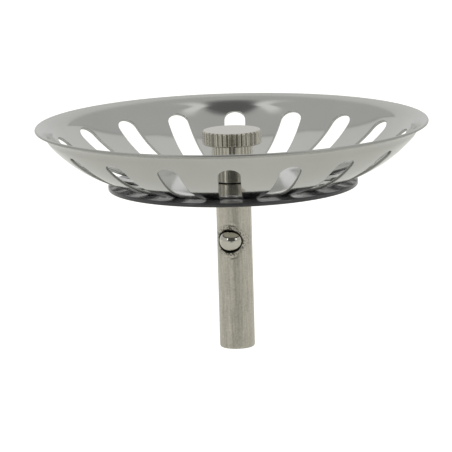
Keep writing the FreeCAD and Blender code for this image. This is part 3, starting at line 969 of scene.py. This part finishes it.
def make_floor(stage):
    """A wide pale floor. The camera sees it lit, and mirrors see it brighter far behind the strainer and
    dark in front, where the camera stands."""
    half = 8.0
    outline = np.array([[-half, -half], [half, -half], [half, half], [-half, half]])
    corners = np.column_stack([outline, np.full(4, -stage.floor_drop)])
    mesh = bpy.data.meshes.new("studio_floor")
    mesh.from_pydata(corners.tolist(), [], [[0, 1, 2, 3]])
    material, tree, shader = start_finish("pale_floor", 0.0)
    shader.inputs["Roughness"].default_value = 0.9
    shader.inputs["Emission Color"].default_value = (1, 1, 1, 1)
    place = add_node(tree, "ShaderNodeSeparateXYZ")
    link(tree, object_place(tree), place, 0)
    camera, mirrored = ray_kind(tree)
    ahead = ramp_between(tree, place.outputs["Y"], -1.1, -0.9, 1.0, 0.0, True)
    off_middle = math_node(tree, "ABSOLUTE", math_node(tree, "SUBTRACT", place.outputs["X"], 0.1))
    dark = math_node(tree, "MULTIPLY", ahead, ramp_between(tree, off_middle, 0.3, 0.5, 0.75, 0.0, True))
    lit = math_node(tree, "SUBTRACT", 1.0, math_node(tree, "MULTIPLY", dark, mirrored))
    pale = add_node(tree, "ShaderNodeVectorMath", {0: tuple(settings("finishes").floor)}, operation="SCALE")
    link(tree, lit, pale, "Scale")
    link(tree, pale.outputs[0], shader, "Base Color")
    far = ramp_between(tree, place.outputs["Y"], 0.1, 0.7, 0.16, 0.27, True)
    far = math_node(tree, "MULTIPLY", far, lit)
    seen = math_node(tree, "MULTIPLY", camera, 0.65)
    seen = math_node(tree, "MAXIMUM", seen, math_node(tree, "MULTIPLY", mirrored, far))
    link(tree, seen, shader, "Emission Strength")
    mesh.materials.append(material)
    add_object("studio_floor", mesh)


def make_world(stage):
    """A pale tent: a lit panel behind with a seam round it, dimmer cloth overhead and at the sides, a dark
    shape over the camera with lit cloth beside it, and the dark room in front. Brightness goes by
    direction. The camera itself sees plain white."""
    panel_top, panel_side = math.radians(68.5), math.radians(45)
    panel_blur, seam_half = math.radians(1.2), math.radians(2)
    world = bpy.data.worlds.new("studio_tent")
    world.use_nodes = True
    bpy.context.scene.world = world
    tree = world.node_tree
    background = tree.nodes["Background"]
    background.inputs["Color"].default_value = (1, 1, 1, 1)
    parts = add_node(tree, "ShaderNodeSeparateXYZ")
    link(tree, add_node(tree, "ShaderNodeTexCoord").outputs["Generated"], parts, 0)
    aside = math_node(tree, "ABSOLUTE", parts.outputs["X"])
    over = math_node(tree, "ARCTAN2", parts.outputs["Z"], parts.outputs["Y"])

    def oval(middle, half_height, centre, half_width, softness):
        """One inside an oval of directions and nil outside, by degrees over the top and shares aside."""
        off_level = math_node(tree, "SUBTRACT", over, math.radians(middle))
        tall = math_node(tree, "DIVIDE", off_level, math.radians(half_height))
        wide = math_node(tree, "DIVIDE", math_node(tree, "SUBTRACT", aside, centre), half_width)
        cubes = [math_node(tree, "POWER", math_node(tree, "ABSOLUTE", part), 3.0) for part in (tall, wide)]
        return ramp_between(tree, math_node(tree, "ADD", *cubes), 1 - softness, 1 + softness, 1.0, 0.0, True)

    past_top = math_node(tree, "SUBTRACT", over, panel_top)
    to_side = math_node(tree, "ARCTAN2", aside, parts.outputs["Y"])
    past_side = math_node(tree, "SUBTRACT", to_side, panel_side)
    past_panel = math_node(tree, "MAXIMUM", past_top, past_side)
    off_seam = math_node(tree, "ABSOLUTE", math_node(tree, "SUBTRACT", past_panel, seam_half))
    seam = ramp_between(tree, off_seam, 0, seam_half, 0.78, 1.0)
    tent = math_node(tree, "MULTIPLY", stage.tent, seam)
    on_panel = ramp_between(tree, past_panel, 0, panel_blur, 1.0, 0.0, True)
    room = oval(middle=180, half_height=38, centre=0, half_width=0.62, softness=0.4)
    glow = oval(middle=115, half_height=18, centre=0.28, half_width=0.06, softness=0.8)
    shade = oval(middle=122, half_height=24, centre=0, half_width=0.2, softness=0.35)
    tent = blend(tree, on_panel, tent, stage.back)
    tent = blend(tree, room, tent, stage.room)
    tent = blend(tree, glow, tent, stage.glow)
    tent = blend(tree, shade, tent, stage.shade)
    camera, _ = ray_kind(tree)
    link(tree, math_node(tree, "MAXIMUM", tent, camera), background, "Strength")


def make_lamps(stage):
    """Two tall soft lamps in front, left and right of the camera."""
    rise, reach = stage.lamp_rise, 1.0
    for name, turn in (("lamp_left", stage.lamp_left), ("lamp_right", stage.lamp_right)):
        lamp = bpy.data.lights.new(name, "AREA")
        lamp.shape = "RECTANGLE"
        lamp.size = stage.lamp_width
        lamp.size_y = stage.lamp_height
        lamp.energy = stage.lamp_power
        holder = add_object(name, lamp)
        way = Vector((math.sin(turn) * math.cos(rise), -math.cos(turn) * math.cos(rise), math.sin(rise)))
        holder.location = way * reach
        holder.rotation_euler = way.to_track_quat("Z", "Y").to_euler()


def make_camera(stage):
    """Camera at the viewing angle of the photograph, turned so that the rim sits where the frame asks."""
    rim = Vector((0, 0, BOWL_HIGH.z))
    back = Vector((0, -math.cos(stage.elevation), math.sin(stage.elevation)))
    data = bpy.data.cameras.new("camera")
    data.sensor_width = 36.0
    data.lens = stage.lens
    camera = add_object("camera", data)
    camera.location = rim + back * stage.distance
    turned = Quaternion((0, 0, 1), -stage.roll)
    offset = turned @ Vector((stage.rim_right, stage.rim_up, 0))
    level = (-back).to_track_quat("-Z", "Y")
    aim = rim - (level @ offset) * stage.distance * data.sensor_width / data.lens
    camera.rotation_mode = "QUATERNION"
    camera.rotation_quaternion = (aim - camera.location).to_track_quat("-Z", "Y") @ turned
    bpy.context.scene.camera = camera


class BuildStage(bpy.types.Operator):
    """Set the floor, the light and the camera"""

    bl_idname = "strainer.stage"
    bl_label = "Stage"

    def execute(self, context):
        stage = settings("stage")
        make_floor(stage)
        make_world(stage)
        make_lamps(stage)
        make_camera(stage)
        context.scene.view_settings.view_transform = "Standard"
        return {"FINISHED"}


class StrainerPanel(bpy.types.Panel):
    """Sizes, finishes and build steps of the strainer"""

    bl_idname = "VIEW3D_PT_strainer"
    bl_label = "Sink strainer"
    bl_space_type = "VIEW_3D"
    bl_region_type = "UI"
    bl_category = "Strainer"

    def draw(self, context):
        for name, group in GROUPS.items():
            box = self.layout.box()
            box.label(text=name.capitalize())
            for field in group.__annotations__:
                box.prop(settings(name), field)
        for step in STEPS:
            self.layout.operator(step.bl_idname)


GROUPS = {
    "bowl": BowlSizes,
    "seal": SealSizes,
    "stem": StemSizes,
    "knob": KnobSizes,
    "finishes": Finishes,
    "stage": StageSettings,
}
STEPS = (BuildBowl, BuildRubber, BuildWasher, BuildStem, BuildCatch, BuildKnob, BuildStage)
CLASSES = (*GROUPS.values(), *STEPS, StrainerPanel)


def register():
    for item in CLASSES:
        bpy.utils.register_class(item)
    for name, group in GROUPS.items():
        setattr(bpy.types.Scene, "strainer_" + name, bpy.props.PointerProperty(type=group))


def unregister():
    for name in GROUPS:
        delattr(bpy.types.Scene, "strainer_" + name)
    for item in reversed(CLASSES):
        bpy.utils.unregister_class(item)


def main():
    """Registers the classes and builds every piece and the stage."""
    register()
    bpy.ops.strainer.bowl()
    bpy.ops.strainer.rubber()
    bpy.ops.strainer.washer()
    bpy.ops.strainer.stem()
    bpy.ops.strainer.catch()
    bpy.ops.strainer.knob()
    bpy.ops.strainer.stage()


if __name__ == "__main__":
    main()
